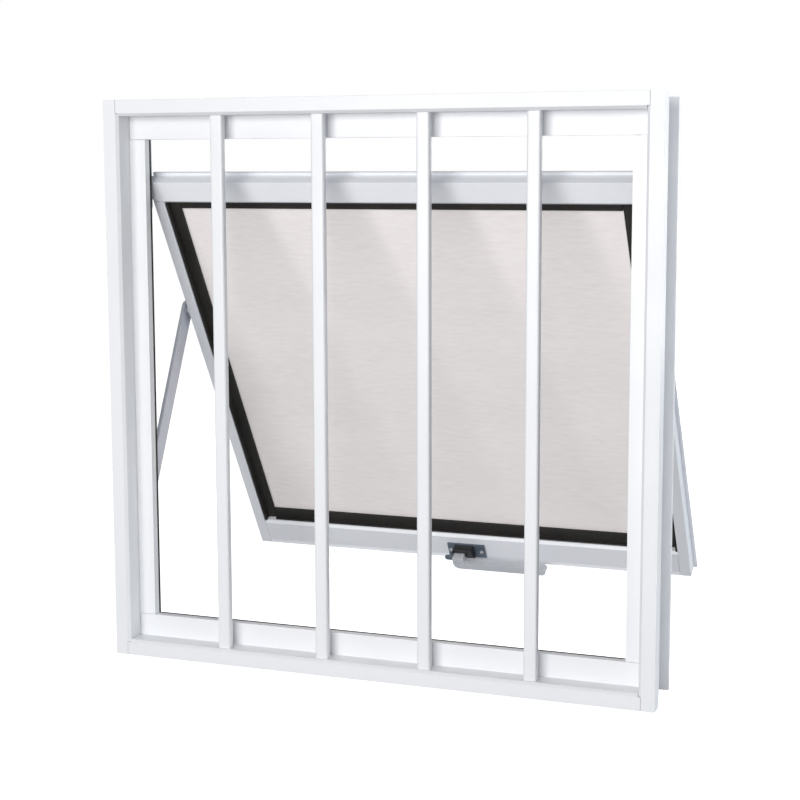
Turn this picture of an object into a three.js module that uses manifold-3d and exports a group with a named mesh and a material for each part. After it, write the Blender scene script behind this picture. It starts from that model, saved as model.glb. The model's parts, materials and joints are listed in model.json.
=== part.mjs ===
// Projecting top-hung window with a security grille and a crank handle.
// Millimetres. X right seen from the room, Y outdoors, Z up.
// Origin: centre of the sill's bottom face, halfway through the trim.

import * as THREE from 'three';
import { mergeVertices } from 'three/addons/utils/BufferGeometryUtils.js';
import Module from 'manifold-3d';

// Fixed frame
const WIDTH = 600;
const HEIGHT = 600;
const DEPTH = 68;
const TRIM_WIDTH = 14;
const TRIM_DEPTH = 18;
const REVEAL = 17;          // outer edge to the reveal's face
const STOP_REACH = 35.5;    // outer edge to the stop's inner edge
const STOP_FRONT = 24.5;
const STOP_BACK = 33.5;
const SILL_STOP = 41;       // height of the sill stop, and the head stop's drop
const REAR_FRONT = 64;      // front face of the rear flange
const BODY_INSET = 4;       // the body behind the trim is this much shorter
const WEB = 2.2;            // thickness of the reveal's wall
const WALL = 1.5;
const GAP = 0.3;

// Grille
const BAR_COUNT = 4;
const BAR_PITCH = 114;
const BAR_WIDTH = 14;
const BAR_FRONT = 5.5;
const BAR_BACK = 15;
const BAR_WALL = 1.2;
const BAR_SOCKET = 9;       // how far a bar's end enters the head and the sill

// Sash, in its own axes: x across, n out from the room-side face, u up from the bottom edge
const SASH_HALF = 271.5;
const SASH_HEIGHT = 526;
const SASH_FACE = 41;       // depth of the closed sash's room-side face
const SASH_BOTTOM = 36.5;   // height of the closed sash's bottom edge
const SASH_BOX = 15.5;
const SASH_BACK = 18.5;
const STILE = 12.5;
const TOP_FACE = 23.5;
const BOTTOM_FACE = 32.5;
const DRIP_HEIGHT = 4.8;    // the sloped groove along the bottom rail's lower edge
const DRIP_DEPTH = 2.5;
const BEVEL = 3;            // of the frame's reveal edge and the rails' glass edge
const SIDE_FLANGE = 4;
const TOP_RISE = 2.8;       // the outer plate stands this far above the top edge
const GLASS_FRONT = 11;
const GLASS_BACK = 15;
const GLASS_SIDE_ROOM = 2.5;
const GLASS_RAIL_ROOM = 2;
const GASKET_WALL = 2.7;
const SIDE_FOOT = 13.5;     // how far the glazing gasket reaches over the glass at the stiles
const BOTTOM_FOOT = 15.5;
const TOP_FOOT = 11;
const BACK_LIP = 10.5;      // how far the outer plate laps the glass at the stiles
const RAIL_LIP = 10;

// Linkage: a shoe at the sash's top corner slides in the jamb, an arm holds its middle
const PIN_DEPTH = 8;        // pivots, behind the sash's room-side face
const PIN_DROP = 2;         // shoe pin, below the sash's top edge
const SASH_LINK = 171;      // shoe pin to arm pin
const ARM_LENGTH = 205.5;
const OPEN_ANGLE = THREE.MathUtils.degToRad(31.2);
const ARM_ANGLE = Math.asin(SASH_LINK * Math.sin(OPEN_ANGLE) / ARM_LENGTH);
const ARM_WIDTH = 19;
const ARM_INNER = 276.3;    // the arm's faces, from the centre line
const ARM_OUTER = 280.3;
const PIN_RADIUS = 2.95;
const PIN_HOLE = 3.25;
const RIVET_HEAD = 5.5;
const RIVET_RISE = 1.5;
const TRACK_BOTTOM = 486;
const TRACK_TOP = 576;
const SHOE_HALF = 4.5;      // half the shoe's size across the track
const SHOE_REACH = 8;       // half its length
const SHOE_INNER = 274.2;
const SHOE_OUTER = 280.7;
const SHOE_PIN = 2.5;

// Crank handle, in x, n and height above the spindle
const HANDLE_HEIGHT = 17.5; // spindle axis above the sash's bottom edge
const PLATE_FACE = -2.8;
const HUB_RADIUS = 12;
const HUB_TOP = 7;
const HUB_FRONT = -13.7;
const LEVER_LENGTH = 105;
const LEVER_LOW = -12.2;
const LEVER_THICK = 9;
const LEVER_FRONT = -24.5;
const LEVER_BACK = -14;
const LOBE_TIP = -19;       // the lobe drops in front of the sill stop when the lever is up
const LOBE_FRONT = -20.5;
const LOBE_BACK = -17.5;
const SPINDLE_RADIUS = 3.5;
const SPINDLE_PLAY = 0.5;

const wasm = await Module();
wasm.setup();

const whitePaint = { color: 0xf1f1f3, roughness: 0.32, metalness: 0.0 };
const blackRubber = { color: 0x1b1a19, roughness: 0.75, metalness: 0.0 };
const blackPlastic = { color: 0x141414, roughness: 0.45, metalness: 0.0 };
const frostedGlass = { color: 0xd9d5d3, roughness: 0.35, metalness: 0.0 };
const greyNylon = { color: 0x8c8f96, roughness: 0.6, metalness: 0.0 };
const mattAluminium = { color: 0xb9bdc6, roughness: 0.4, metalness: 0.9 };
const steel = { color: 0x9a9da3, roughness: 0.3, metalness: 1.0 };
const silverPaint = { color: 0xcfd2d6, roughness: 0.35, metalness: 0.6 };
const platePaint = { color: 0x6d7887, roughness: 0.4, metalness: 0.3 };

// Solid geometry helpers

function solidOf(geometry) {
  const plain = geometry.clone();
  plain.deleteAttribute('normal');
  plain.deleteAttribute('uv');
  const merged = mergeVertices(plain, 1e-4);
  return new wasm.Manifold(new wasm.Mesh({
    numProp: 3,
    vertProperties: new Float32Array(merged.attributes.position.array),
    triVerts: new Uint32Array(merged.index.array),
  }));
}

function geometryOf(solid) {
  const mesh = solid.getMesh();
  const geometry = new THREE.BufferGeometry();
  geometry.setAttribute('position', new THREE.BufferAttribute(mesh.vertProperties, 3));
  geometry.setIndex(new THREE.BufferAttribute(mesh.triVerts, 1));
  geometry.computeVertexNormals();
  return geometry;
}

function box(x0, x1, y0, y1, z0, z1) {
  const geometry = new THREE.BoxGeometry(x1 - x0, y1 - y0, z1 - z0);
  return geometry.translate((x0 + x1) / 2, (y0 + y1) / 2, (z0 + z1) / 2);
}

function joined(...geometries) {
  return geometryOf(geometries.map(solidOf).reduce((sum, solid) => sum.add(solid)));
}

function cut(geometry, ...tools) {
  return geometryOf(tools.map(solidOf).reduce((rest, tool) => rest.subtract(tool), solidOf(geometry)));
}

function outline(points, holes = []) {
  const toVectors = (list) => list.map(([a, b]) => new THREE.Vector2(a, b));
  const edge = toVectors(points);
  if (THREE.ShapeUtils.isClockWise(edge)) {
    edge.reverse();
  }
  const shape = new THREE.Shape(edge);
  for (const hole of holes) {
    shape.holes.push(new THREE.Path(toVectors(hole)));
  }
  return shape;
}

function rectangle(a0, a1, b0, b1) {
  return [[a0, b0], [a1, b0], [a1, b1], [a0, b1]];
}

// A section drawn in x and y, run along Z
function upright(shape, z0, z1) {
  const settings = { depth: z1 - z0, bevelEnabled: false, curveSegments: 10 };
  const geometry = new THREE.ExtrudeGeometry(shape, settings);
  return geometry.translate(0, 0, z0);
}

// A section drawn in y and z, run along X
function crosswise(shape, x0, x1) {
  const turn = new THREE.Matrix4().makeBasis(
    new THREE.Vector3(0, 1, 0),
    new THREE.Vector3(0, 0, 1),
    new THREE.Vector3(1, 0, 0),
  );
  return upright(shape, x0, x1).applyMatrix4(turn);
}

// A rod or disc along X
function rodX(radius, x0, x1, y, z, sides = 24) {
  const geometry = new THREE.CylinderGeometry(radius, radius, Math.abs(x1 - x0), sides);
  return geometry.rotateZ(Math.PI / 2).translate((x0 + x1) / 2, y, z);
}

// A rod or disc along Y
function rodY(radius, y0, y1, x, z, sides = 32) {
  const geometry = new THREE.CylinderGeometry(radius, radius, y1 - y0, sides);
  return geometry.translate(x, (y0 + y1) / 2, z);
}

// Mirrors a right-hand piece to the left, keeping its faces outward
function mirrored(geometry) {
  const flipped = geometry.index ? geometry.clone() : mergeVertices(geometry);
  flipped.applyMatrix4(new THREE.Matrix4().makeScale(-1, 1, 1));
  const index = flipped.index.array;
  for (let i = 0; i < index.length; i += 3) {
    [index[i], index[i + 1]] = [index[i + 1], index[i]];
  }
  flipped.computeVertexNormals();
  return flipped;
}

function piece(name, geometry, look, parent) {
  const mesh = new THREE.Mesh(geometry, new THREE.MeshStandardMaterial(look));
  mesh.name = name;
  parent.add(mesh);
  return mesh;
}

// Adds the right-hand piece and its mirror image
function pair(name, geometry, look, parentRight, parentLeft) {
  piece(`${name}_right`, geometry, look, parentRight);
  piece(`${name}_left`, mirrored(geometry), look, parentLeft);
}

const model = new THREE.Group();
model.position.y = -TRIM_DEPTH / 2;

// Frame profile: a is the distance in from the outer edge, b the depth

const trimChamber = rectangle(WALL, TRIM_WIDTH - WALL, WALL, TRIM_DEPTH - WALL);
const stopChamber = rectangle(REVEAL + WALL, STOP_REACH - WALL, STOP_FRONT + WALL, STOP_BACK - WALL);
const webFace = REVEAL - WEB;
const profileOutline = [
  [0, 0], [TRIM_WIDTH, 0], [REVEAL, BEVEL], [REVEAL, DEPTH], [0, DEPTH],
  [0, REAR_FRONT], [webFace, REAR_FRONT], [webFace, TRIM_DEPTH], [0, TRIM_DEPTH],
];
const stopOutline = rectangle(REVEAL - 1, STOP_REACH, STOP_FRONT, STOP_BACK);

// Turns section points given as inward distance and depth into x and y on the right-hand jamb
const onJamb = (points) => points.map(([a, b]) => [WIDTH / 2 - a, b]);
// The same for y and z on the sill, and on the head
const onSill = (points) => points.map(([a, b]) => [b, a]);
const onHead = (points) => points.map(([a, b]) => [b, HEIGHT - a]);

function bar(x, grow) {
  const half = BAR_WIDTH / 2 + grow;
  const chamfer = 2.5;
  const back = 1.5;
  const y0 = BAR_FRONT - grow;
  const y1 = BAR_BACK + grow;
  const points = [
    [x - half + chamfer, y0], [x + half - chamfer, y0], [x + half, y0 + chamfer], [x + half, y1 - back],
    [x + half - back, y1], [x - half + back, y1], [x - half, y1 - back], [x - half, y0 + chamfer],
  ];
  return points;
}

const barCentres = Array.from({ length: BAR_COUNT }, (_, i) => (i - (BAR_COUNT - 1) / 2) * BAR_PITCH);
const barBottom = REVEAL - BAR_SOCKET;

function buildFrame() {
  const inside = WIDTH / 2 - REVEAL;
  const jambBody = upright(outline(onJamb(profileOutline), [onJamb(trimChamber)]), 0, HEIGHT);
  const jambStop = upright(outline(onJamb(stopOutline), [onJamb(stopChamber)]),
    SILL_STOP + GAP, HEIGHT - SILL_STOP - GAP);
  const trimEnd = TRIM_WIDTH + GAP;
  const lowerJoint = box(inside - 1, WIDTH / 2 - TRIM_WIDTH, -1, TRIM_DEPTH + GAP, -1, trimEnd);
  const upperJoint = lowerJoint.clone().translate(0, 0, HEIGHT + 1 - trimEnd);
  const lowerInset = box(inside - 1, WIDTH / 2 + 1, TRIM_DEPTH + GAP, DEPTH + 1, -1, BODY_INSET);
  const upperInset = lowerInset.clone().translate(0, 0, HEIGHT + 1 - BODY_INSET);
  const jamb = cut(joined(jambBody, jambStop), lowerJoint, upperJoint, lowerInset, upperInset);
  pair('frame_jamb', jamb, whitePaint, model, model);

  const trimHalf = WIDTH / 2 - TRIM_WIDTH - GAP;
  const bodyHalf = inside - GAP;
  const across = (place, flip) => {
    // section points as depth and distance in from the outer edge, on the sill or on the head
    const body = crosswise(outline(place(profileOutline), [place(trimChamber)]), -trimHalf, trimHalf);
    const stopPoints = rectangle(REVEAL - 1, SILL_STOP, STOP_FRONT, STOP_BACK);
    const chamber = rectangle(REVEAL + WALL, SILL_STOP - WALL, STOP_FRONT + WALL, STOP_BACK - WALL);
    const stop = crosswise(outline(place(stopPoints), [place(chamber)]), -bodyHalf, bodyHalf);
    const [low, high] = [-1, TRIM_WIDTH].map(flip).sort((p, q) => p - q);
    const [wallLow, wallHigh] = [TRIM_WIDTH, REVEAL + 1].map(flip).sort((p, q) => p - q);
    const [insetLow, insetHigh] = [-1, BODY_INSET].map(flip).sort((p, q) => p - q);
    const [socketLow, socketHigh] = [barBottom - GAP, REVEAL + 1].map(flip).sort((p, q) => p - q);
    const endCuts = [[bodyHalf, trimHalf + 1], [-trimHalf - 1, -bodyHalf]].flatMap(([x0, x1]) => [
      box(x0, x1, TRIM_DEPTH, DEPTH + 1, low, high),
      box(x0, x1, -1, DEPTH + 1, wallLow, wallHigh),
    ]);
    const inset = box(-WIDTH, WIDTH, TRIM_DEPTH + GAP, DEPTH + 1, insetLow, insetHigh);
    const sockets = barCentres.map((x) => upright(outline(bar(x, GAP)), socketLow, socketHigh));
    return cut(joined(body, stop), ...endCuts, inset, ...sockets);
  };
  piece('frame_sill', across(onSill, (z) => z), whitePaint, model);
  piece('frame_head', across(onHead, (z) => HEIGHT - z), whitePaint, model);
}

function buildGrille() {
  barCentres.forEach((x, i) => {
    const tube = outline(bar(x, 0), [bar(x, -BAR_WALL)]);
    piece(`grille_bar_${i + 1}`, upright(tube, barBottom, HEIGHT - barBottom), whitePaint, model);
  });
}

// Seals on the back of the stops, which the closed sash presses on
function buildStopSeals() {
  const front = STOP_BACK + GAP;
  const back = SASH_FACE - 1.5;
  const width = 4.5;
  const round = 1.2;
  const section = (inner) => [
    [inner - width, front], [inner, front], [inner, back - round], [inner - round, back],
    [inner - width + round, back], [inner - width, back - round],
  ];
  const reach = STOP_REACH - GAP;
  const drop = SILL_STOP - 0.2;
  const side = upright(outline(onJamb(section(reach))), drop - width, HEIGHT - drop + width);
  pair('stop_seal', side, blackRubber, model, model);
  const half = WIDTH / 2 - STOP_REACH;
  piece('stop_seal_sill', crosswise(outline(onSill(section(drop))), -half, half), blackRubber, model);
  piece('stop_seal_head', crosswise(outline(onHead(section(drop))), -half, half), blackRubber, model);
}

const pivotDepth = SASH_FACE + PIN_DEPTH;
const shoeClosed = SASH_BOTTOM + SASH_HEIGHT - PIN_DROP;
const armPivot = shoeClosed - SASH_LINK - ARM_LENGTH;
const shoeRest = armPivot + ARM_LENGTH * Math.cos(ARM_ANGLE) + SASH_LINK * Math.cos(OPEN_ANGLE);
const jambFace = WIDTH / 2 - REVEAL;

// Channels that guide the shoes, and plates that carry the arms' lower rivets
function buildJambHardware() {
  const lip = 1.6;
  const room = SHOE_HALF + 0.95;
  const lipTip = 274;
  const backX = jambFace - GAP - lip;
  const channel = [
    [lipTip, pivotDepth - room - lip], [jambFace - GAP, pivotDepth - room - lip],
    [jambFace - GAP, pivotDepth + room + lip], [lipTip, pivotDepth + room + lip],
    [lipTip, pivotDepth + room], [backX, pivotDepth + room],
    [backX, pivotDepth - room], [lipTip, pivotDepth - room],
  ];
  pair('slide_track', upright(outline(channel), TRACK_BOTTOM, TRACK_TOP), mattAluminium, model, model);

  const plateHalf = 8;
  const plateReach = 20;
  const plate = box(ARM_OUTER + GAP, jambFace - GAP, pivotDepth - plateHalf, pivotDepth + plateHalf,
    armPivot - plateReach, armPivot + plateReach);
  pair('pivot_plate', cut(plate, rodX(PIN_HOLE, ARM_OUTER, jambFace, pivotDepth, armPivot)),
    mattAluminium, model, model);

  const headFace = ARM_INNER - GAP;
  const rivet = joined(rodX(PIN_RADIUS, headFace - 1, jambFace - 0.6, pivotDepth, armPivot),
    rodX(RIVET_HEAD, headFace - RIVET_RISE, headFace, pivotDepth, armPivot));
  pair('lower_rivet', rivet, steel, model, model);
}

// Arm drawn standing up from its lower pivot
function armGeometry() {
  const half = ARM_WIDTH / 2;
  const shape = new THREE.Shape();
  shape.absarc(0, 0, half, Math.PI, 2 * Math.PI, false);
  shape.absarc(0, ARM_LENGTH, half, 0, Math.PI, false);
  for (const z of [0, ARM_LENGTH]) {
    const hole = new THREE.Path();
    hole.absarc(0, z, PIN_HOLE, 0, 2 * Math.PI, false);
    shape.holes.push(hole);
  }
  return crosswise(shape, ARM_INNER, ARM_OUTER);
}

function buildArms() {
  const arms = new THREE.Group();
  arms.position.set(0, pivotDepth, armPivot);
  arms.rotation.x = -ARM_ANGLE;
  model.add(arms);
  pair('stay_arm', armGeometry(), mattAluminium, arms, arms);
}

// Sash group: children are placed in x, n and u
const sash = new THREE.Group();
sash.position.set(0, pivotDepth, shoeRest);
sash.rotation.x = OPEN_ANGLE;
model.add(sash);
const sashAxes = new THREE.Group();
sashAxes.position.set(0, -PIN_DEPTH, -(SASH_HEIGHT - PIN_DROP));
sash.add(sashAxes);

const stileInner = SASH_HALF - STILE;
const bottomInner = BOTTOM_FACE + BEVEL;
const topInner = SASH_HEIGHT - TOP_FACE - BEVEL;

function buildSashFrame() {
  const flangeTip = SASH_HALF + SIDE_FLANGE;
  const lipTip = stileInner - BACK_LIP;
  const stileOutline = [
    [SASH_HALF, 0], [SASH_HALF, SASH_BOX], [flangeTip, SASH_BOX], [flangeTip, SASH_BACK],
    [lipTip, SASH_BACK], [lipTip, SASH_BOX], [stileInner, SASH_BOX], [stileInner, 0],
  ];
  const stileChamber = rectangle(stileInner + WALL, SASH_HALF - WALL, WALL, SASH_BOX - WALL);
  // the stile's top end follows the underside of the top rail
  const below = topInner - GAP;
  const plateBelow = below - RAIL_LIP;
  const above = SASH_HEIGHT + 1;
  const stileTop = [
    [-1, below + BEVEL + 1], [BEVEL, below], [SASH_BOX - GAP, below], [SASH_BOX - GAP, plateBelow],
    [SASH_BACK + 1, plateBelow], [SASH_BACK + 1, above], [-1, above],
  ];
  const stile = cut(upright(outline(stileOutline, [stileChamber]), 0, SASH_HEIGHT),
    crosswise(outline(stileTop), lipTip - 1, flangeTip + 1));
  pair('sash_stile', stile, whitePaint, sashAxes, sashAxes);

  // a rail's section in n and distance in from the sash's edge
  const railOutline = (face, rise, edge) => outline([
    ...edge, [0, face], [BEVEL, face + BEVEL], [SASH_BOX, face + BEVEL],
    [SASH_BOX, face + BEVEL + RAIL_LIP], [SASH_BACK, face + BEVEL + RAIL_LIP],
    [SASH_BACK, -rise], [SASH_BOX, -rise], [SASH_BOX, 0],
  ], [rectangle(WALL, SASH_BOX - WALL, DRIP_HEIGHT + WALL, face - WALL)]);

  const drip = [[0, 0], [DRIP_DEPTH, DRIP_HEIGHT], [0, DRIP_HEIGHT + GAP]];
  const lipHalf = lipTip - GAP;
  const boxHalf = stileInner - GAP;
  const lipRoom = box(lipHalf, SASH_HALF, SASH_BOX - GAP, SASH_BACK + 1, -1, bottomInner + RAIL_LIP + 1);
  const spindleHole = rodY(SPINDLE_RADIUS + SPINDLE_PLAY, -1, WALL + 1, 0, HANDLE_HEIGHT);
  const bottom = cut(crosswise(railOutline(BOTTOM_FACE, 0, drip), -boxHalf, boxHalf),
    lipRoom, mirrored(lipRoom), spindleHole);
  piece('sash_bottom_rail', bottom, whitePaint, sashAxes);

  // drawn from the top edge down, then turned over
  const top = crosswise(railOutline(TOP_FACE, TOP_RISE, [[0, 0]]), -SASH_HALF, SASH_HALF);
  const turnOver = new THREE.Matrix4().makeScale(-1, 1, -1).setPosition(0, 0, SASH_HEIGHT);
  piece('sash_top_rail', geometryOf(solidOf(top.applyMatrix4(turnOver))), whitePaint, sashAxes);
}

function buildGlazing() {
  const glassHalf = stileInner - GLASS_SIDE_ROOM;
  const glass = box(-glassHalf, glassHalf, GLASS_FRONT, GLASS_BACK,
    bottomInner + GLASS_RAIL_ROOM, topInner - GLASS_RAIL_ROOM);
  piece('sash_glass', glass, frostedGlass, sashAxes);

  const footFront = 8;
  const back = GLASS_FRONT - GAP;
  // distance over the glass from the rail, and n
  const section = (front, foot) => [
    [GAP, front], [GASKET_WALL, front], [GASKET_WALL, footFront], [foot, footFront],
    [foot, back], [GAP, back],
  ];
  const onStile = section(0.5, SIDE_FOOT).map(([a, n]) => [stileInner - a, n]);
  pair('glazing_gasket', upright(outline(onStile), bottomInner + GAP, topInner - GAP),
    blackRubber, sashAxes, sashAxes);
  const half = stileInner - SIDE_FOOT - GAP;
  const railFront = BEVEL + 0.5;
  const onBottom = section(railFront, BOTTOM_FOOT).map(([a, n]) => [n, bottomInner + a]);
  const onTop = section(railFront, TOP_FOOT).map(([a, n]) => [n, topInner - a]);
  piece('glazing_gasket_bottom', crosswise(outline(onBottom), -half, half), blackRubber, sashAxes);
  piece('glazing_gasket_top', crosswise(outline(onTop), -half, half), blackRubber, sashAxes);
}

// Brackets on the sash's edges: one carries the arm's rivet, the other the shoe's pin
function buildSashBrackets() {
  const plateX0 = SASH_HALF + GAP;
  const plateX1 = plateX0 + 1.5;
  const armHalf = 18;
  const armU = SASH_HEIGHT - PIN_DROP - SASH_LINK;
  const bossRadius = 5;
  const bossEnd = ARM_INNER - GAP;
  const socketEnd = plateX0 + 0.6;
  const armPlate = box(plateX0, plateX1, 2.5, 13.5, armU - armHalf, armU + armHalf);
  const armBracket = cut(joined(armPlate, rodX(bossRadius, plateX0 + 1, bossEnd, PIN_DEPTH, armU)),
    rodX(PIN_HOLE, socketEnd, bossEnd + 1, PIN_DEPTH, armU));
  pair('arm_bracket', armBracket, mattAluminium, sashAxes, sashAxes);

  const headX = ARM_OUTER + GAP;
  const upperRivet = joined(rodX(PIN_RADIUS, socketEnd + GAP, headX + 0.5, PIN_DEPTH, armU),
    rodX(RIVET_HEAD, headX, headX + RIVET_RISE, PIN_DEPTH, armU));
  pair('upper_rivet', upperRivet, steel, sashAxes, sashAxes);

  const shoeU = SASH_HEIGHT - PIN_DROP;
  const shoePlate = box(plateX0, plateX1, 1.5, 14.5, shoeU - 20, shoeU + 1.8);
  const shoePin = rodX(SHOE_PIN, plateX0 + 1, SHOE_OUTER - 1.2, PIN_DEPTH, shoeU);
  pair('shoe_bracket', joined(shoePlate, shoePin), mattAluminium, sashAxes, sashAxes);
}

function buildShoes() {
  const shoe = cut(
    box(SHOE_INNER, SHOE_OUTER, pivotDepth - SHOE_HALF, pivotDepth + SHOE_HALF,
      shoeRest - SHOE_REACH, shoeRest + SHOE_REACH),
    rodX(SHOE_PIN + GAP, SHOE_INNER - 1, SHOE_OUTER + 1, pivotDepth, shoeRest));
  pair('slide_shoe', shoe, greyNylon, model, model);
}

// Handle group: its axis is the spindle, children in x, n and height above the axis
function buildHandle() {
  const plateLeft = -20;
  const plateRight = 26;
  const plateLow = 5.5;
  const plateHigh = 24;
  const plateBox = box(plateLeft, plateRight, PLATE_FACE, -GAP, plateLow, plateHigh);
  const screwInset = 4;
  const screwCentres = [plateLeft + screwInset, plateRight - screwInset];
  const screwHeight = (plateLow + plateHigh) / 2;
  const screwRadius = 2.2;
  const screwRise = 0.6;
  const spindleRoom = rodY(SPINDLE_RADIUS + SPINDLE_PLAY, PLATE_FACE - 1, 1, 0, HANDLE_HEIGHT);
  const screwRooms = screwCentres.map((x) => (
    rodY(screwRadius + GAP, PLATE_FACE - 1, 1, x, screwHeight, 20)));
  piece('handle_plate', cut(plateBox, spindleRoom, ...screwRooms), platePaint, sashAxes);
  screwCentres.forEach((x, i) => {
    const screw = rodY(screwRadius, PLATE_FACE - screwRise, -GAP, x, screwHeight, 20);
    piece(`plate_screw_${i + 1}`, screw, steel, sashAxes);
  });

  const handle = new THREE.Group();
  handle.position.set(0, 0, HANDLE_HEIGHT);
  sashAxes.add(handle);
  const spindleEnd = 12;
  piece('handle_spindle', rodY(SPINDLE_RADIUS, PLATE_FACE, spindleEnd, 0, 0, 24), steel, handle);

  // round below so that it turns clear of the sill stop, with a flat top and a leg
  const hubBack = PLATE_FACE - GAP;
  const legLeft = 5;
  const legRight = 13;
  const disc = cut(rodY(HUB_RADIUS, HUB_FRONT, hubBack, 0, 0, 40),
    box(-HUB_RADIUS - 1, HUB_RADIUS + 1, HUB_FRONT - 1, hubBack + 1, HUB_TOP, HUB_RADIUS + 1));
  const leg = box(legLeft, legRight, HUB_FRONT, hubBack, -HUB_RADIUS, HUB_TOP);
  piece('handle_hub', joined(disc, leg), blackPlastic, handle);

  const neckInner = -8.4;
  const lobeHalf = 3.5;
  const neck = box(-HUB_RADIUS, neckInner, LOBE_FRONT, HUB_FRONT - GAP, -lobeHalf, lobeHalf);
  const tipEnd = box(LOBE_TIP + lobeHalf, neckInner, LOBE_FRONT, LOBE_BACK, -lobeHalf, lobeHalf);
  const lobe = joined(neck, tipEnd, rodY(lobeHalf, LOBE_FRONT, LOBE_BACK, LOBE_TIP + lobeHalf, 0, 24));
  piece('handle_lobe', lobe, platePaint, handle);

  const high = LEVER_LOW + LEVER_THICK;
  const left = neckInner + GAP;
  const top = 3;
  const tip = LEVER_THICK / 2;
  const shape = new THREE.Shape();
  shape.moveTo(left, top);
  shape.lineTo(left, -4);
  shape.quadraticCurveTo(left, LEVER_LOW, 1, LEVER_LOW);
  shape.lineTo(LEVER_LENGTH - tip, LEVER_LOW);
  shape.absarc(LEVER_LENGTH - tip, LEVER_LOW + tip, tip, -Math.PI / 2, Math.PI / 2, false);
  shape.lineTo(legLeft + 3, high);
  shape.quadraticCurveTo(legLeft, high, legLeft, high + 3);
  shape.lineTo(legLeft, top);
  shape.closePath();
  const lever = new THREE.ExtrudeGeometry(shape, {
    depth: LEVER_BACK - LEVER_FRONT, bevelEnabled: false, curveSegments: 12,
  });
  lever.rotateX(Math.PI / 2).translate(0, LEVER_BACK, 0);
  piece('handle_lever', lever, silverPaint, handle);
}

buildFrame();
buildGrille();
buildStopSeals();
buildJambHardware();
buildArms();
buildSashFrame();
buildGlazing();
buildSashBrackets();
buildShoes();
buildHandle();

export default model;
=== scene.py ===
import json
import math

import bmesh
import bpy
from mathutils import Matrix, Vector


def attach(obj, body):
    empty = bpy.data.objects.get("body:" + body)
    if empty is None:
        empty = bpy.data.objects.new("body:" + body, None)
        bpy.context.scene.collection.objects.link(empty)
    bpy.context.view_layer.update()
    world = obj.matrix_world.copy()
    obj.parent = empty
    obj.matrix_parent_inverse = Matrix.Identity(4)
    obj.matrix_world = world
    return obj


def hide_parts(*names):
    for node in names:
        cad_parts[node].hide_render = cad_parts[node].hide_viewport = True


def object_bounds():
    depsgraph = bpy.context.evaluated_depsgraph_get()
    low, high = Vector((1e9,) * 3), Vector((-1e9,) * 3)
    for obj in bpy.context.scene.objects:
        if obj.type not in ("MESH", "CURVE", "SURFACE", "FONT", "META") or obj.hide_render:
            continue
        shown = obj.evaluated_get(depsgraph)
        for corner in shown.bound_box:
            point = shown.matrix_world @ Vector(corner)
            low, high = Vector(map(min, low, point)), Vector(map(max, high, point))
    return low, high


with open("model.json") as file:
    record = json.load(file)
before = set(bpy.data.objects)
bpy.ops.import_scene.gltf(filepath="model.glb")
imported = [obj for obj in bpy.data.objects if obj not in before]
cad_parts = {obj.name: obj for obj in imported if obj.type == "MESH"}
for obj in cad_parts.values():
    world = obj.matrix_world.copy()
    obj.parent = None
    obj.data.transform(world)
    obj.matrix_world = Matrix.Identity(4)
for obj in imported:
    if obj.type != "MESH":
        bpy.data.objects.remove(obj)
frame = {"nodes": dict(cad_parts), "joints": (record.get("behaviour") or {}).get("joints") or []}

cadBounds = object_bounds()
mm = 0.001
jointNamed = {joint["name"]: joint for joint in frame["joints"]}

# the open sash's own axes: x across, n outwards from its room-side face, z along it
handleAxis = jointNamed["handle_turn"]["axis"]
openAngle = math.atan2(-handleAxis[2], -handleAxis[1])
shoePin = jointNamed["shoe_left_turn"]["pos_m"]
sashTurn = Matrix.Rotation(openAngle, 4, "X")
sashPlace = Matrix.Translation((0, shoePin[1], shoePin[2])) @ sashTurn


def boxOf(node, place=Matrix()):
    # a node's lowest and highest corner, measured in the axes of the given place
    inverse = place.inverted()
    points = [inverse @ vertex.co for vertex in frame["nodes"][node].data.vertices]
    low = Vector(min(point[axis] for point in points) for axis in range(3))
    high = Vector(max(point[axis] for point in points) for axis in range(3))
    return low, high


# camera, in the frame's own metres
cameraView = {
    "eye": (0.6505, -1.614, 0.5292),
    "turnLeft": 20.99,
    "dip": 7.71,
    "lean": -0.167,
    "lens": 77.4,
}


def placeCamera():
    data = bpy.data.cameras.new("camera")
    data.lens = cameraView["lens"]
    data.sensor_width = 36
    data.clip_start = 0.05
    camera = bpy.data.objects.new("camera", data)
    turn = Matrix.Rotation(math.radians(cameraView["turnLeft"]), 4, "Z")
    dip = Matrix.Rotation(math.radians(90 - cameraView["dip"]), 4, "X")
    lean = Matrix.Rotation(math.radians(cameraView["lean"]), 4, "Z")
    camera.matrix_world = Matrix.Translation(cameraView["eye"]) @ turn @ dip @ lean
    bpy.context.scene.collection.objects.link(camera)
    bpy.context.scene.camera = camera


# studio
studio = {
    "ambient": 0.25,
    "ambientColor": (0.90, 0.945, 1.0),
    "floorColor": (0.93, 0.93, 0.93),
    "floorGlow": 0.86,
    "floorSize": 30,
    "floorDrop": 0.3 * mm,
}
# name: place, point it faces, width, height, watts, colour
softBoxes = {
    "keyLight": ((-0.2, -3.2, 0.6), (0, 0, 0.3), 2.6, 2.2, 116, (1.0, 0.995, 0.985)),
    "topLight": ((0.3, 0.3, 2.6), (0, 0.15, 0.2), 1.6, 1.6, 3, (1.0, 1.0, 1.0)),
    "sideLight": ((2.6, 0.3, 0.6), (0, 0.1, 0.3), 0.8, 1.6, 42, (0.93, 0.97, 1.0)),
    "backLight": ((0.2, 3.0, 0.5), (0, 0.1, 0.3), 2.0, 2.0, 30, (1.0, 1.0, 1.0)),
}


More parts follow.
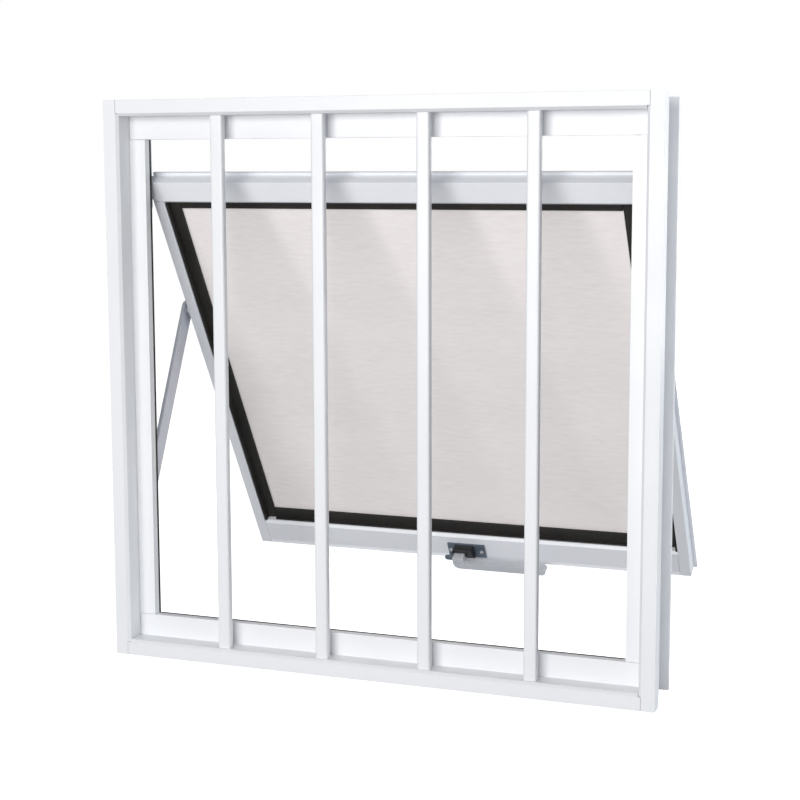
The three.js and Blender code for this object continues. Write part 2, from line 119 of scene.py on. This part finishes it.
def buildStudio():
    world = bpy.data.worlds.new("studio")
    world.use_nodes = True
    bpy.context.scene.world = world
    tree = world.node_tree
    tree.nodes.clear()
    output = tree.nodes.new("ShaderNodeOutputWorld")
    mix = tree.nodes.new("ShaderNodeMixShader")
    rays = tree.nodes.new("ShaderNodeLightPath")
    fill = tree.nodes.new("ShaderNodeBackground")
    fill.inputs["Color"].default_value = (*studio["ambientColor"], 1)
    fill.inputs["Strength"].default_value = studio["ambient"]
    backdrop = tree.nodes.new("ShaderNodeBackground")
    backdrop.inputs["Color"].default_value = (1, 1, 1, 1)
    tree.links.new(rays.outputs["Is Camera Ray"], mix.inputs["Fac"])
    tree.links.new(fill.outputs[0], mix.inputs[1])
    tree.links.new(backdrop.outputs[0], mix.inputs[2])
    tree.links.new(mix.outputs[0], output.inputs["Surface"])

    for name, (place, target, width, height, watts, color) in softBoxes.items():
        light = bpy.data.lights.new(name, "AREA")
        light.shape = "RECTANGLE"
        light.size = width
        light.size_y = height
        light.energy = watts
        light.color = color
        lamp = bpy.data.objects.new(name, light)
        lamp.location = place
        lamp.rotation_euler = (Vector(target) - Vector(place)).to_track_quat("-Z", "Y").to_euler()
        lamp.visible_camera = False
        bpy.context.scene.collection.objects.link(lamp)

    material = bpy.data.materials.new("paleFloor")
    material.use_nodes = True
    shader = material.node_tree.nodes["Principled BSDF"]
    shader.inputs["Base Color"].default_value = (*studio["floorColor"], 1)
    shader.inputs["Roughness"].default_value = 0.9
    shader.inputs["Specular IOR Level"].default_value = 0.1
    shader.inputs["Emission Color"].default_value = (1, 1, 1, 1)
    # the floor glows for the camera only, so that it doesn't light the window from below
    nodes = material.node_tree.nodes
    seen = nodes.new("ShaderNodeLightPath")
    glow = nodes.new("ShaderNodeMath")
    glow.operation = "MULTIPLY"
    glow.inputs[1].default_value = studio["floorGlow"]
    material.node_tree.links.new(seen.outputs["Is Camera Ray"], glow.inputs[0])
    material.node_tree.links.new(glow.outputs[0], shader.inputs["Emission Strength"])
    half = studio["floorSize"] / 2
    mesh = bpy.data.meshes.new("floor")
    corners = [(-half, -half, 0), (half, -half, 0), (half, half, 0), (-half, half, 0)]
    mesh.from_pydata(corners, [], [(0, 1, 2, 3)])
    mesh.materials.append(material)
    floor = bpy.data.objects.new("floor", mesh)
    floor.location.z = cadBounds[0].z - studio["floorDrop"]
    floor.visible_diffuse = False
    bpy.context.scene.collection.objects.link(floor)


# shader node groups
def newGroup(name, inputs, outputs):
    group = bpy.data.node_groups.new(name, "ShaderNodeTree")
    for label, kind, value in inputs:
        socket = group.interface.new_socket(label, in_out="INPUT", socket_type=kind)
        socket.default_value = value
    for label, kind in outputs:
        group.interface.new_socket(label, in_out="OUTPUT", socket_type=kind)
    return group, group.nodes.new("NodeGroupInput"), group.nodes.new("NodeGroupOutput")


vectorSocket = "NodeSocketVector"
floatSocket = "NodeSocketFloat"
colorSocket = "NodeSocketColor"


def feed(tree, socket, value):
    # another node's output is linked, anything else is set as the socket's own value
    if hasattr(value, "is_output"):
        tree.links.new(value, socket)
    else:
        socket.default_value = value


def noiseNode(tree, vector, scale, detail=3.0, roughness=0.5):
    noise = tree.nodes.new("ShaderNodeTexNoise")
    noise.inputs["Detail"].default_value = detail
    noise.inputs["Roughness"].default_value = roughness
    feed(tree, noise.inputs["Vector"], vector)
    feed(tree, noise.inputs["Scale"], scale)
    return noise.outputs["Fac"]


def mathNode(tree, operation, first, second, clamp=False):
    node = tree.nodes.new("ShaderNodeMath")
    node.operation = operation
    node.use_clamp = clamp
    feed(tree, node.inputs[0], first)
    feed(tree, node.inputs[1], second)
    return node.outputs[0]


def mixColors(tree, factor, first, second):
    node = tree.nodes.new("ShaderNodeMix")
    node.data_type = "RGBA"
    feed(tree, node.inputs["Factor"], factor)
    feed(tree, node.inputs[6], first)   # colour A
    feed(tree, node.inputs[7], second)  # colour B
    return node.outputs[2]


def rangeNode(tree, value, fromLow, fromHigh, toLow, toHigh):
    node = tree.nodes.new("ShaderNodeMapRange")
    limits = {"Value": value, "From Min": fromLow, "From Max": fromHigh, "To Min": toLow, "To Max": toHigh}
    for label, number in limits.items():
        feed(tree, node.inputs[label], number)
    return node.outputs["Result"]


def makeSkinGroup():
    # a sprayed, moulded or plain surface: fine grain, faint patches of tone and a few scuffs
    group, start, end = newGroup("surfaceSkin", [
        ("Vector", vectorSocket, (0, 0, 0)), ("Base", colorSocket, (0.8, 0.8, 0.8, 1)),
        ("Patch", colorSocket, (0.7, 0.7, 0.7, 1)), ("Scuff", colorSocket, (0.5, 0.5, 0.5, 1)),
        ("Grain Scale", floatSocket, 900.0), ("Patch Scale", floatSocket, 14.0),
        ("Scuff Amount", floatSocket, 0.3), ("Rough Low", floatSocket, 0.3), ("Rough High", floatSocket, 0.4),
    ], [("Color", colorSocket), ("Roughness", floatSocket), ("Height", floatSocket)])
    vector = start.outputs["Vector"]
    patches = noiseNode(group, vector, start.outputs["Patch Scale"], 4.0, 0.6)
    grain = noiseNode(group, vector, start.outputs["Grain Scale"], 2.0, 0.6)
    scuffs = noiseNode(group, vector, 160.0, 6.0, 0.75)
    spread = rangeNode(group, patches, 0.35, 0.68, 0.0, 1.0)
    marks = mathNode(group, "MULTIPLY", rangeNode(group, scuffs, 0.66, 0.78, 0.0, 1.0),
                     start.outputs["Scuff Amount"], clamp=True)
    toned = mixColors(group, spread, start.outputs["Base"], start.outputs["Patch"])
    color = mixColors(group, marks, toned, start.outputs["Scuff"])
    rough = rangeNode(group, patches, 0.3, 0.7, start.outputs["Rough Low"], start.outputs["Rough High"])
    rough = mathNode(group, "ADD", rough, mathNode(group, "MULTIPLY", marks, 0.15), clamp=True)
    group.links.new(color, end.inputs["Color"])
    group.links.new(rough, end.inputs["Roughness"])
    group.links.new(grain, end.inputs["Height"])
    return group


def makeDrawnGroup():
    # drawn or brushed metal: streaks along one direction over a fine grain
    group, start, end = newGroup("drawnMetal", [
        ("Vector", vectorSocket, (0, 0, 0)), ("Stretch", vectorSocket, (1, 1, 1)),
        ("Base", colorSocket, (0.6, 0.6, 0.6, 1)), ("Streak", colorSocket, (0.5, 0.5, 0.5, 1)),
        ("Rough Low", floatSocket, 0.25), ("Rough High", floatSocket, 0.45),
    ], [("Color", colorSocket), ("Roughness", floatSocket), ("Height", floatSocket)])
    stretch = group.nodes.new("ShaderNodeVectorMath")
    stretch.operation = "MULTIPLY"
    group.links.new(start.outputs["Vector"], stretch.inputs[0])
    group.links.new(start.outputs["Stretch"], stretch.inputs[1])
    streaks = noiseNode(group, stretch.outputs[0], 400.0, 4.0, 0.65)
    cloud = noiseNode(group, start.outputs["Vector"], 45.0, 3.0, 0.5)
    both = mathNode(group, "MULTIPLY", rangeNode(group, streaks, 0.35, 0.7, 0.0, 1.0),
                    rangeNode(group, cloud, 0.3, 0.7, 0.5, 1.0), clamp=True)
    toned = mixColors(group, both, start.outputs["Base"], start.outputs["Streak"])
    group.links.new(toned, end.inputs["Color"])
    rough = rangeNode(group, both, 0.0, 1.0, start.outputs["Rough Low"], start.outputs["Rough High"])
    group.links.new(rough, end.inputs["Roughness"])
    group.links.new(streaks, end.inputs["Height"])
    return group


def makeObscureGroup():
    # patterned glass: shallow drawn-out ripples over a fine frost
    group, start, end = newGroup("obscurePattern", [
        ("Vector", vectorSocket, (0, 0, 0)), ("Base", colorSocket, (0.8, 0.8, 0.8, 1)),
        ("Veil", colorSocket, (0.7, 0.7, 0.7, 1)), ("Ripple Scale", floatSocket, 120.0),
        ("Ripple Draw", vectorSocket, (0.25, 1, 1)), ("Rough Low", floatSocket, 0.3),
        ("Rough High", floatSocket, 0.5),
    ], [("Color", colorSocket), ("Roughness", floatSocket), ("Height", floatSocket)])
    drawn = group.nodes.new("ShaderNodeVectorMath")
    drawn.operation = "MULTIPLY"
    group.links.new(start.outputs["Vector"], drawn.inputs[0])
    group.links.new(start.outputs["Ripple Draw"], drawn.inputs[1])
    ripples = noiseNode(group, drawn.outputs[0], start.outputs["Ripple Scale"], 3.0, 0.55)
    frost = noiseNode(group, start.outputs["Vector"], 700.0, 2.0, 0.6)
    clouds = noiseNode(group, drawn.outputs[0], 18.0, 4.0, 0.6)
    height = mathNode(group, "ADD", ripples, mathNode(group, "MULTIPLY", frost, 0.35))
    tone = mathNode(group, "ADD", mathNode(group, "MULTIPLY", ripples, 0.55),
                    mathNode(group, "MULTIPLY", clouds, 0.45))
    tone = rangeNode(group, tone, 0.35, 0.65, 0.0, 1.0)
    group.links.new(mixColors(group, tone, start.outputs["Base"], start.outputs["Veil"]), end.inputs["Color"])
    rough = rangeNode(group, ripples, 0.3, 0.7, start.outputs["Rough Low"], start.outputs["Rough High"])
    group.links.new(rough, end.inputs["Roughness"])
    group.links.new(height, end.inputs["Height"])
    return group


groups = {"skin": makeSkinGroup(), "drawn": makeDrawnGroup(), "obscure": makeObscureGroup()}


def makeMaterial(name, groupName, groupValues, shaderValues, bumpStrength, bumpDistance, turn=0.0):
    material = bpy.data.materials.new(name)
    material.use_nodes = True
    tree = material.node_tree
    shader = tree.nodes["Principled BSDF"]
    coords = tree.nodes.new("ShaderNodeTexCoord")
    mapping = tree.nodes.new("ShaderNodeMapping")
    mapping.inputs["Rotation"].default_value = (turn, 0, 0)
    tree.links.new(coords.outputs["Object"], mapping.inputs["Vector"])
    surface = tree.nodes.new("ShaderNodeGroup")
    surface.node_tree = groups[groupName]
    tree.links.new(mapping.outputs["Vector"], surface.inputs["Vector"])
    for label, value in groupValues.items():
        surface.inputs[label].default_value = value
    for label, value in shaderValues.items():
        shader.inputs[label].default_value = value
    tree.links.new(surface.outputs["Color"], shader.inputs["Base Color"])
    tree.links.new(surface.outputs["Roughness"], shader.inputs["Roughness"])
    bump = tree.nodes.new("ShaderNodeBump")
    bump.inputs["Strength"].default_value = bumpStrength
    bump.inputs["Distance"].default_value = bumpDistance
    tree.links.new(surface.outputs["Height"], bump.inputs["Height"])
    tree.links.new(bump.outputs["Normal"], shader.inputs["Normal"])
    return material


materials = {
    "framePaint": makeMaterial(
        "whitePowderCoat", "skin",
        {"Base": (0.86, 0.865, 0.885, 1), "Patch": (0.835, 0.845, 0.87, 1), "Scuff": (0.72, 0.73, 0.76, 1),
         "Grain Scale": 1400.0, "Patch Scale": 9.0, "Scuff Amount": 0.12,
         "Rough Low": 0.32, "Rough High": 0.42},
        {"Metallic": 0.0, "Coat Weight": 0.15, "Coat Roughness": 0.25}, 0.12, 0.0002),
    # the frame's white powder coat again, painted lighter and bluer for the sash: painted light and painted
    # bluish shade on its down-facing faces
    "sashCoatPaintedLight": makeMaterial(
        "whitePowderCoatSashPaintedLight", "skin",
        {"Base": (0.88, 0.89, 0.93, 1), "Patch": (0.85, 0.865, 0.905, 1), "Scuff": (0.7, 0.71, 0.75, 1),
         "Grain Scale": 1400.0, "Patch Scale": 11.0, "Scuff Amount": 0.12,
         "Rough Low": 0.32, "Rough High": 0.42},
        {"Metallic": 0.0, "Coat Weight": 0.15, "Coat Roughness": 0.25}, 0.12, 0.0002, -openAngle),
    "blackRubber": makeMaterial(
        "blackSealRubber", "skin",
        {"Base": (0.012, 0.011, 0.010, 1), "Patch": (0.022, 0.02, 0.018, 1), "Scuff": (0.06, 0.055, 0.05, 1),
         "Grain Scale": 2200.0, "Patch Scale": 40.0, "Scuff Amount": 0.3,
         "Rough Low": 0.55, "Rough High": 0.75},
        {"Metallic": 0.0, "Specular IOR Level": 0.35}, 0.25, 0.0002),
    "obscureGlassPaintedGlow": makeMaterial(
        "obscureGlassPaintedGlow", "obscure",
        {"Base": (0.95, 0.90, 0.885, 1), "Veil": (0.86, 0.81, 0.80, 1), "Ripple Scale": 260.0,
         "Ripple Draw": (0.22, 1.0, 1.0), "Rough Low": 0.28, "Rough High": 0.45},
        {"Metallic": 0.0, "IOR": 1.5,
         # the faint warm emission is painted light: the glass glows to stand in for daylight coming through
         # it from behind
         "Transmission Weight": 0.08, "Emission Color": (1.0, 0.96, 0.95, 1), "Emission Strength": 0.07},
        0.35, 0.0004, -openAngle),
    "mattAluminium": makeMaterial(
        "mattAluminium", "drawn",
        {"Stretch": (1.0, 1.0, 0.06), "Base": (0.74, 0.76, 0.82, 1), "Streak": (0.64, 0.66, 0.72, 1),
         "Rough Low": 0.42, "Rough High": 0.56},
        {"Metallic": 0.45}, 0.2, 0.00015),
    "plainSteel": makeMaterial(
        "plainSteel", "drawn",
        {"Stretch": (1.0, 1.0, 1.0), "Base": (0.56, 0.56, 0.58, 1), "Streak": (0.42, 0.42, 0.44, 1),
         "Rough Low": 0.22, "Rough High": 0.4},
        {"Metallic": 1.0}, 0.15, 0.0001),
    "greyNylon": makeMaterial(
        "greyNylon", "skin",
        {"Base": (0.25, 0.26, 0.29, 1), "Patch": (0.21, 0.22, 0.25, 1), "Scuff": (0.4, 0.41, 0.43, 1),
         "Grain Scale": 1600.0, "Patch Scale": 60.0, "Scuff Amount": 0.4,
         "Rough Low": 0.45, "Rough High": 0.6},
        {"Metallic": 0.0}, 0.2, 0.0002),
    "platePaint": makeMaterial(
        "blueGreyPlate", "skin",
        {"Base": (0.10, 0.13, 0.17, 1), "Patch": (0.13, 0.16, 0.20, 1), "Scuff": (0.3, 0.33, 0.37, 1),
         "Grain Scale": 1500.0, "Patch Scale": 70.0, "Scuff Amount": 0.5,
         "Rough Low": 0.28, "Rough High": 0.42},
        {"Metallic": 0.3}, 0.15, 0.00015, -openAngle),
    "blackPlastic": makeMaterial(
        "blackMouldedPlastic", "skin",
        {"Base": (0.008, 0.008, 0.009, 1), "Patch": (0.014, 0.014, 0.015, 1), "Scuff": (0.05, 0.05, 0.05, 1),
         "Grain Scale": 1800.0, "Patch Scale": 80.0, "Scuff Amount": 0.35,
         "Rough Low": 0.35, "Rough High": 0.5},
        {"Metallic": 0.0}, 0.2, 0.00015, -openAngle),
    "silverPaint": makeMaterial(
        "silverLeverPaint", "skin",
        {"Base": (0.64, 0.66, 0.70, 1), "Patch": (0.58, 0.60, 0.64, 1), "Scuff": (0.42, 0.43, 0.45, 1),
         "Grain Scale": 2400.0, "Patch Scale": 50.0, "Scuff Amount": 0.25,
         "Rough Low": 0.3, "Rough High": 0.42},
        {"Metallic": 0.35, "Coat Weight": 0.25, "Coat Roughness": 0.2}, 0.15, 0.00015, -openAngle),
}
print("materials:", len(materials))


# mesh helpers
mergeLook = {
    "nodeMerge": 0.002 * mm, "grownMerge": 0.001 * mm, "capMerge": 0.01 * mm, "flatAngle": math.radians(1),
}


def newObject(name, mesh):
    piece = bpy.data.objects.new(name, mesh)
    bpy.context.scene.collection.objects.link(piece)
    return piece


def settled(piece):
    # turns the modifiers' result into the piece's own mesh
    graph = bpy.context.evaluated_depsgraph_get()
    result = bpy.data.meshes.new_from_object(piece.evaluated_get(graph))
    piece.modifiers.clear()
    old = piece.data
    piece.data = result
    bpy.data.meshes.remove(old)
    return piece


def finishPiece(piece, materialName, body, nodes=()):
    piece.data.materials.clear()
    piece.data.materials.append(materials[materialName])
    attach(piece, body)
    if nodes:
        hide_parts(*nodes)
    return piece


def shadedByArea(piece):
    # smooth shading that keeps the large faces flat
    piece.data.shade_smooth()
    weighted = piece.modifiers.new("shade", "WEIGHTED_NORMAL")
    weighted.keep_sharp = False
    weighted.weight = 80
    return settled(piece)


def roundEdges(piece, width, segments, angle=32):
    bevel = piece.modifiers.new("round", "BEVEL")
    bevel.width = width
    bevel.segments = segments
    bevel.limit_method = "ANGLE"
    bevel.angle_limit = math.radians(angle)
    bevel.use_clamp_overlap = True
    return shadedByArea(piece)


def softenedCopy(node, materialName, body, width=0.4 * mm, segments=2, angle=32):
    # the node's own shape with its long flat faces whole and its edges rounded
    work = bmesh.new()
    work.from_mesh(frame["nodes"][node].data)
    bmesh.ops.remove_doubles(work, verts=work.verts, dist=mergeLook["nodeMerge"])
    bmesh.ops.dissolve_limit(work, angle_limit=mergeLook["flatAngle"], verts=work.verts, edges=work.edges)
    mesh = bpy.data.meshes.new(node + ".soft")
    work.to_mesh(mesh)
    work.free()
    piece = roundEdges(newObject(node + ".soft", mesh), width, segments, angle)
    return finishPiece(piece, materialName, body, (node,))


# geometry node trees for what repeats
geometrySocket = "NodeSocketGeometry"
materialSocket = "NodeSocketMaterial"


def newTree(name, inputs):
    tree = bpy.data.node_groups.new(name, "GeometryNodeTree")
    tree.interface.new_socket("Geometry", in_out="INPUT", socket_type=geometrySocket)
    for label, kind, value in inputs:
        socket = tree.interface.new_socket(label, in_out="INPUT", socket_type=kind)
        if value is not None:
            socket.default_value = value
    tree.interface.new_socket("Geometry", in_out="OUTPUT", socket_type=geometrySocket)
    return tree, tree.nodes.new("NodeGroupInput"), tree.nodes.new("NodeGroupOutput")


def treeNode(tree, kind, links, values=()):
    node = tree.nodes.new(kind)
    for label, source in links:
        tree.links.new(source, node.inputs[label])
    for label, value in values:
        node.inputs[label].default_value = value
    return node


def placedOnPoints(tree, start, end, shape, links=()):
    # copies the shape to every point, then makes it real and gives it the material
    spread = treeNode(tree, "GeometryNodeInstanceOnPoints",
                      [("Points", start.outputs["Geometry"]), ("Instance", shape), *links])
    real = treeNode(tree, "GeometryNodeRealizeInstances", [("Geometry", spread.outputs[0])])
    coated = treeNode(tree, "GeometryNodeSetMaterial",
                      [("Geometry", real.outputs[0]), ("Material", start.outputs["Material"])])
    tree.links.new(coated.outputs[0], end.inputs["Geometry"])
    return tree


barCornerSteps = 5


def makeBarTree():
    tree, start, end = newTree("barRow", [
        ("Width", floatSocket, 0.014), ("Depth", floatSocket, 0.0095), ("Height", floatSocket, 0.5),
        ("Round", floatSocket, 0.0025), ("Material", materialSocket, None),
    ])
    section = treeNode(tree, "GeometryNodeCurvePrimitiveQuadrilateral",
                       [("Width", start.outputs["Width"]), ("Height", start.outputs["Depth"])])
    corners = tree.nodes.new("GeometryNodeFilletCurve")
    corners.mode = "POLY"
    tree.links.new(section.outputs[0], corners.inputs["Curve"])
    tree.links.new(start.outputs["Round"], corners.inputs["Radius"])
    corners.inputs["Count"].default_value = barCornerSteps
    face = tree.nodes.new("GeometryNodeFillCurve")
    face.mode = "NGONS"
    tree.links.new(corners.outputs[0], face.inputs["Curve"])
    rise = treeNode(tree, "ShaderNodeCombineXYZ", [("Z", start.outputs["Height"])])
    body = treeNode(tree, "GeometryNodeExtrudeMesh",
                    [("Mesh", face.outputs[0]), ("Offset", rise.outputs[0])], [("Individual", False)])
    foot = treeNode(tree, "GeometryNodeFlipFaces", [("Mesh", face.outputs[0])])
    whole = tree.nodes.new("GeometryNodeJoinGeometry")
    tree.links.new(foot.outputs[0], whole.inputs[0])
    tree.links.new(body.outputs["Mesh"], whole.inputs[0])
    closed = treeNode(tree, "GeometryNodeMergeByDistance", [("Geometry", whole.outputs[0])],
                      [("Distance", mergeLook["capMerge"])])
    return placedOnPoints(tree, start, end, closed.outputs[0])


# the head's shape, in parts of its radius across and of its rise along
headShape = {
    "sides": 24, "seatDepth": 0.7, "seatMiddle": 0.2,
    "crownDepth": 0.5, "crownMiddle": 0.5, "slotLength": 1.15, "slotMiddle": 1.0,
}


def makeScrewTree():
    # a head of unit radius and rise with a cross recess, aimed and sized by each point's own values
    head = headShape
    tree, start, end = newTree("screwHeads", [
        ("Slot Width", floatSocket, 0.24), ("Slot Depth", floatSocket, 0.6), ("Crown", floatSocket, 0.7),
        ("Material", materialSocket, None),
    ])
    seat = treeNode(tree, "GeometryNodeMeshCylinder", [],
                    [("Vertices", head["sides"]), ("Radius", 1.0), ("Depth", head["seatDepth"])])
    crown = treeNode(tree, "GeometryNodeMeshCone", [("Radius Top", start.outputs["Crown"])],
                     [("Vertices", head["sides"]), ("Radius Bottom", 1.0), ("Depth", head["crownDepth"])])
    seatUp = treeNode(tree, "GeometryNodeTransform", [("Geometry", seat.outputs["Mesh"])],
                      [("Translation", (0, 0, head["seatMiddle"]))])
    crownUp = treeNode(tree, "GeometryNodeTransform", [("Geometry", crown.outputs["Mesh"])],
                       [("Translation", (0, 0, head["crownMiddle"]))])
    size = treeNode(tree, "ShaderNodeCombineXYZ",
                    [("Y", start.outputs["Slot Width"]), ("Z", start.outputs["Slot Depth"])],
                    [("X", head["slotLength"])])
    slot = treeNode(tree, "GeometryNodeMeshCube", [("Size", size.outputs[0])])
    across = treeNode(tree, "GeometryNodeTransform", [("Geometry", slot.outputs["Mesh"])],
                      [("Translation", (0, 0, head["slotMiddle"]))])
    along = treeNode(tree, "GeometryNodeTransform", [("Geometry", across.outputs[0])],
                     [("Rotation", (0, 0, math.pi / 2))])
    union = tree.nodes.new("GeometryNodeMeshBoolean")
    union.operation = "UNION"
    tree.links.new(seatUp.outputs[0], union.inputs["Mesh 2"])
    tree.links.new(crownUp.outputs[0], union.inputs["Mesh 2"])
    carved = tree.nodes.new("GeometryNodeMeshBoolean")
    carved.operation = "DIFFERENCE"
    tree.links.new(union.outputs[0], carved.inputs["Mesh 1"])
    tree.links.new(across.outputs[0], carved.inputs["Mesh 2"])
    tree.links.new(along.outputs[0], carved.inputs["Mesh 2"])
    wanted = {}
    for label in ("aim", "size"):
        wanted[label] = treeNode(tree, "GeometryNodeInputNamedAttribute", [], [("Name", label)])
        wanted[label].data_type = "FLOAT_VECTOR"
    turn = tree.nodes.new("FunctionNodeAlignRotationToVector")
    turn.axis = "Z"
    tree.links.new(wanted["aim"].outputs["Attribute"], turn.inputs["Vector"])
    return placedOnPoints(tree, start, end, carved.outputs[0],
                          [("Rotation", turn.outputs[0]), ("Scale", wanted["size"].outputs["Attribute"])])


def grown(name, points, tree, values, extra=None):
    # runs the tree over the points and keeps the plain mesh
    mesh = bpy.data.meshes.new(name)
    mesh.from_pydata(points, [], [])
    for label, vectors in (extra or {}).items():
        layer = mesh.attributes.new(label, "FLOAT_VECTOR", "POINT")
        for item, vector in zip(layer.data, vectors):
            item.vector = vector
    piece = newObject(name, mesh)
    modifier = piece.modifiers.new("repeat", "NODES")
    modifier.node_group = tree
    sockets = {item.name: item.identifier for item in tree.interface.items_tree if item.in_out == "INPUT"}
    for label, value in values.items():
        modifier[sockets[label]] = value
    settled(piece)
    work = bmesh.new()
    work.from_mesh(piece.data)
    bmesh.ops.remove_doubles(work, verts=work.verts, dist=mergeLook["grownMerge"])
    bmesh.ops.recalc_face_normals(work, faces=work.faces)
    work.to_mesh(piece.data)
    work.free()
    return piece


# frame
frameLook = {"edge": 0.5 * mm, "segments": 3}


def buildFrame():
    for node in ("frame_jamb_right", "frame_jamb_left", "frame_sill", "frame_head"):
        softenedCopy(node, "framePaint", "frame", frameLook["edge"], frameLook["segments"])
    print("frame profiles done")


# grille
grilleLook = {"round": 2.4 * mm, "inset": 0.02 * mm}


def buildGrille():
    nodes = [f"grille_bar_{number}" for number in range(1, 5)]
    boxes = [boxOf(node) for node in nodes]
    low, high = boxes[0]
    inset = grilleLook["inset"]
    points = [((a.x + b.x) / 2, (a.y + b.y) / 2, a.z + inset) for a, b in boxes]
    bars = grown("grilleBars", points, makeBarTree(), {
        "Width": high.x - low.x - 2 * inset, "Depth": high.y - low.y - 2 * inset,
        "Height": high.z - low.z - 2 * inset, "Round": grilleLook["round"],
        "Material": materials["framePaint"],
    })
    finishPiece(shadedByArea(bars), "framePaint", "frame", nodes)
    print("grille done")


# seals
sealLook = {"edge": 0.8 * mm, "segments": 3}


def buildSeals():
    for side in ("right", "left", "sill", "head"):
        softenedCopy(f"stop_seal_{side}", "blackRubber", "frame", sealLook["edge"], sealLook["segments"])
    for side in ("right", "left", "bottom", "top"):
        softenedCopy(f"glazing_gasket_{side}", "blackRubber", "sash", sealLook["edge"], sealLook["segments"])
    print("seals done")


# tracks, brackets, rivets and shoes
hardwareLook = {"sheetEdge": 0.3 * mm, "shoeEdge": 0.9 * mm, "rivetEdge": 1.1 * mm, "rivetSegments": 5}


def buildHardware():
    for side in ("right", "left"):
        softenedCopy(f"slide_track_{side}", "mattAluminium", "frame", hardwareLook["sheetEdge"])
        softenedCopy(f"pivot_plate_{side}", "mattAluminium", "frame", hardwareLook["sheetEdge"])
        softenedCopy(f"arm_bracket_{side}", "mattAluminium", "sash", hardwareLook["sheetEdge"])
        softenedCopy(f"shoe_bracket_{side}", "mattAluminium", "sash", hardwareLook["sheetEdge"])
        softenedCopy(f"slide_shoe_{side}", "greyNylon", f"shoe_{side}", hardwareLook["shoeEdge"], 3)
        for node, body in (("lower_rivet", "frame"), ("upper_rivet", "sash")):
            softenedCopy(f"{node}_{side}", "plainSteel", body,
                         hardwareLook["rivetEdge"], hardwareLook["rivetSegments"])
    print("hardware done")


# arms
armLook = {"edge": 0.7 * mm, "segments": 3}


def buildArms():
    for side in ("right", "left"):
        softenedCopy(f"stay_arm_{side}", "mattAluminium", f"arm_{side}", armLook["edge"], armLook["segments"])
    print("arms done")


# sash and glass
sashLook = {"edge": 0.45 * mm, "segments": 3, "glassEdge": 0.3 * mm}


def buildSash():
    for node in ("sash_stile_right", "sash_stile_left", "sash_bottom_rail", "sash_top_rail"):
        softenedCopy(node, "sashCoatPaintedLight", "sash", sashLook["edge"], sashLook["segments"])
    softenedCopy("sash_glass", "obscureGlassPaintedGlow", "sash", sashLook["glassEdge"])
    print("sash done")


# handle
handleLook = {"leverEdge": 2.4 * mm, "hubEdge": 1.3 * mm, "lobeEdge": 1.1 * mm, "plateEdge": 0.9 * mm,
              "spindleEdge": 0.3 * mm}


def buildHandle():
    softenedCopy("handle_plate", "platePaint", "sash", handleLook["plateEdge"], 4)
    softenedCopy("handle_spindle", "plainSteel", "handle", handleLook["spindleEdge"])
    softenedCopy("handle_hub", "blackPlastic", "handle", handleLook["hubEdge"], 4)
    softenedCopy("handle_lobe", "platePaint", "handle", handleLook["lobeEdge"], 4)
    softenedCopy("handle_lever", "silverPaint", "handle", handleLook["leverEdge"], 6)
    print("handle done")


# screws
screwLook = {
    "plateRadius": 2.8 * mm, "plateRise": 1.1 * mm,
    "bracketRadius": 2.4 * mm, "bracketRise": 0.8 * mm, "bracketThick": 1.5 * mm, "bracketReach": 13 * mm,
    "shoeRise": 0.4 * mm, "shoeDrop": 8 * mm,
    "trackRadius": 1.8 * mm, "trackRise": 0.9 * mm, "trackWeb": 1.6 * mm,
    "trackLow": 2.2 * mm, "trackHigh": 3.4 * mm,
    "pivotRadius": 2.6 * mm, "pivotRise": 0.2 * mm, "pivotReach": 14.5 * mm,
}


def buildScrews():
    look = screwLook
    tree = makeScrewTree()
    spots = {"sash": [], "frame": []}
    outOfSash = sashTurn @ Vector((0, -1, 0))
    plateFace = boxOf("handle_plate", sashPlace)[0].y
    for number in (1, 2):
        low, high = boxOf(f"plate_screw_{number}", sashPlace)
        spot = sashPlace @ Vector(((low.x + high.x) / 2, plateFace, (low.z + high.z) / 2))
        spots["sash"].append((spot, outOfSash, look["plateRadius"], look["plateRise"]))
    for side, sign in (("right", 1), ("left", -1)):
        outward = Vector((sign, 0, 0))
        low, high = boxOf(f"arm_bracket_{side}", sashPlace)
        inner = low.x if sign > 0 else high.x
        for shift in (-look["bracketReach"], look["bracketReach"]):
            middle = (low + high) / 2
            spot = Vector((inner + sign * look["bracketThick"], middle.y, middle.z + shift))
            spots["sash"].append((sashPlace @ spot, outward, look["bracketRadius"], look["bracketRise"]))
        low, high = boxOf(f"shoe_bracket_{side}", sashPlace)
        inner = low.x if sign > 0 else high.x
        spot = Vector((inner + sign * look["bracketThick"], (low.y + high.y) / 2, low.z + look["shoeDrop"]))
        spots["sash"].append((sashPlace @ spot, outward, look["bracketRadius"], look["shoeRise"]))
        low, high = boxOf(f"slide_track_{side}")
        web = (high.x if sign > 0 else low.x) - sign * look["trackWeb"]
        for height in (low.z + look["trackLow"], high.z - look["trackHigh"]):
            spot = Vector((web, (low.y + high.y) / 2, height))
            spots["frame"].append((spot, -outward, look["trackRadius"], look["trackRise"]))
        low, high = boxOf(f"pivot_plate_{side}")
        face = low.x if sign > 0 else high.x
        for shift in (-look["pivotReach"], look["pivotReach"]):
            spot = Vector((face, (low.y + high.y) / 2, (low.z + high.z) / 2 + shift))
            spots["frame"].append((spot, -outward, look["pivotRadius"], look["pivotRise"]))
    for body, rows in spots.items():
        values = {"Material": materials["plainSteel"]}
        heads = grown(f"{body}Screws", [row[0] for row in rows], tree, values, {
            "aim": [row[1] for row in rows], "size": [(row[2], row[2], row[3]) for row in rows],
        })
        replaced = ("plate_screw_1", "plate_screw_2") if body == "sash" else ()
        finishPiece(heads, "plainSteel", body, replaced)
    print("screws done")


buildStudio()
placeCamera()
buildFrame()
buildGrille()
buildSeals()
buildHardware()
buildArms()
buildSash()
buildHandle()
buildScrews()

bpy.context.scene.view_settings.view_transform = "Standard"
